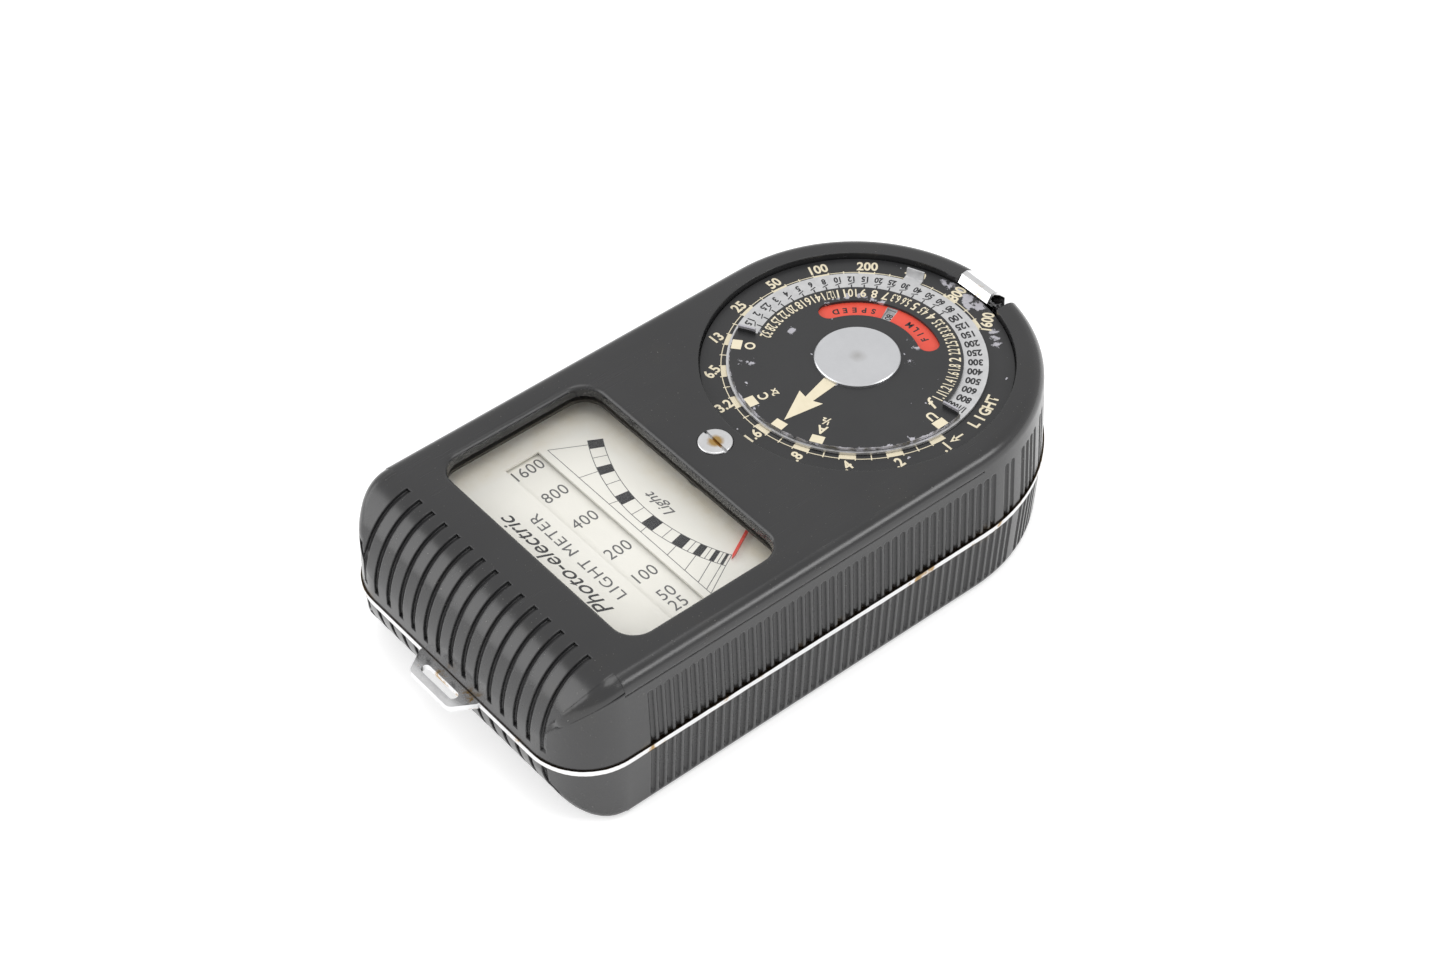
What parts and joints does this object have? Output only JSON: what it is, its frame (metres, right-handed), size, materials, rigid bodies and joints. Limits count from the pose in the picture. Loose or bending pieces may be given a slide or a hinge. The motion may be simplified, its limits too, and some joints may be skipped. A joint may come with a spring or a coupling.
{
  "type": "handheld light meter",
  "caption": "Pocket photographic light meter with ribbed case, needle window, calculator dial, plated band with lug, and hinged rear baffle.",
  "frame": {"origin": "under the middle of the meter, on the surface that the rear rim rests on", "axes": "+Z out of the dial face, +Y towards the round end, +X to the right"},
  "size_m": [0.0624, 0.119, 0.0314],
  "materials": {
    "case_plastic": "worn black moulded phenolic",
    "plated_trim": "worn plating",
    "window": "clear",
    "gasket": "matt",
    "scale_print": "printed white enamel",
    "black_enamel": "chipped black enamel on aluminium",
    "satin_aluminium": "satin",
    "needle_red": "painted",
    "steel": "plain",
    "magnet_iron": "painted",
    "brass_parts": "plain",
    "aluminium_sheet": "plain",
    "cream_plastic": "plain"
  },
  "bodies": {
    "case": {"case_screws": "steel", "cell_insulator": "gasket", "cell_retainer": "cream_plastic", "chassis": "aluminium_sheet", "core": "steel", "core_support": "steel", "door_catch": "steel", "front_case": "case_plastic", "front_contact_ring": "brass_parts", "hinge_bracket": "brass_parts", "hinge_pin": "steel", "latch_spring": "steel", "left_pole_piece": "steel", "lens_glass": "window", "link_bracket": "steel", "lower_hairspring": "brass_parts", "lower_jewel_screw": "brass_parts", "magnet": "magnet_iron", "magnet_spacers": "magnet_iron", "photocell": "steel", "range_guides": "steel", "rear_case": "case_plastic", "rear_contact": "brass_parts", "resistor_spool": "cream_plastic", "right_pole_piece": "steel", "scale_plate": "scale_print", "scale_posts": "brass_parts", "scale_screws": "steel", "spring_studs": "brass_parts", "spring_washer": "steel", "trim_band": "plated_trim", "upper_bridge": "brass_parts", "upper_hairspring": "brass_parts", "upper_jewel_screw": "brass_parts", "window_gasket": "gasket", "window_glass": "window"},
    "light_ring": {"light_ring": "black_enamel"},
    "speed_disc": {"speed_disc": "satin_aluminium"},
    "exposure_dial": {"exposure_dial": "black_enamel", "hub_cap": "black_enamel", "dial_spindle": "steel", "retaining_clip": "steel"},
    "dial_latch": {"dial_latch": "plated_trim"},
    "movement": {"moving_coil": "aluminium_sheet", "needle": "needle_red", "balance_weights": "brass_parts", "coil_pivots": "brass_parts"},
    "zero_screw": {"zero_screw": "steel", "zero_clip": "steel"},
    "zero_arm": {"zero_arm": "brass_parts"},
    "baffle_door": {"baffle_door": "case_plastic"},
    "range_plate": {"range_plate": "scale_print"},
    "range_link": {"range_link": "steel"}
  },
  "joints": [
    {"name": "light_ring_turn", "type": "hinge", "parent": "case", "child": "light_ring", "pos_m": [0, 0.02825, 0.02885], "axis": [0, 0, 1], "continuous": true},
    {"name": "speed_disc_turn", "type": "hinge", "parent": "light_ring", "child": "speed_disc", "pos_m": [0, 0.02825, 0.0296], "axis": [0, 0, 1], "range_deg": [-60, 66]},
    {"name": "exposure_dial_turn", "type": "hinge", "parent": "case", "child": "exposure_dial", "pos_m": [0, 0.02825, 0.0301], "axis": [0, 0, 1], "continuous": true},
    {"name": "latch_slide", "type": "slide", "parent": "case", "child": "dial_latch", "axis": [1, 0, 0], "range_m": [0, 0.0023], "stiffness_N_per_m": 300, "deforming": ["latch_spring"]},
    {"name": "needle_swing", "type": "hinge", "parent": "case", "child": "movement", "pos_m": [0, 0.019, 0.018], "axis": [0, 0, -1], "range_deg": [-2, 60], "stiffness_Nm_per_rad": 0.000004, "deforming": ["upper_hairspring", "lower_hairspring"]},
    {"name": "zero_screw_turn", "type": "hinge", "parent": "case", "child": "zero_screw", "pos_m": [0, -0.00175, 0.028], "axis": [0, 0, 1], "range_deg": [-60, 60]},
    {"name": "zero_arm_turn", "type": "hinge", "parent": "case", "child": "zero_arm", "pos_m": [0, 0.019, 0.0253], "axis": [0, 0, 1], "range_deg": [-2.2, 2.2]},
    {"name": "door_hinge", "type": "hinge", "parent": "case", "child": "baffle_door", "pos_m": [0, 0.004, 0.0014], "axis": [-1, 0, 0], "range_deg": [0, 180]},
    {"name": "range_slide", "type": "slide", "parent": "case", "child": "range_plate", "axis": [0, 1, 0], "range_m": [0, 0.0067]},
    {"name": "range_link_turn", "type": "hinge", "parent": "case", "child": "range_link", "pos_m": [0.0259, -0.01175, 0.013], "axis": [-1, 0, 0], "range_deg": [0, 39.56]}
  ],
  "couplings": [
    {"joint": "zero_arm_turn", "follows": "zero_screw_turn", "ratio": -0.036},
    {"joint": "range_slide", "follows": "door_hinge", "m_per_rad": 0.002132},
    {"joint": "range_link_turn", "follows": "door_hinge", "ratio": 0.2197}
  ]
}
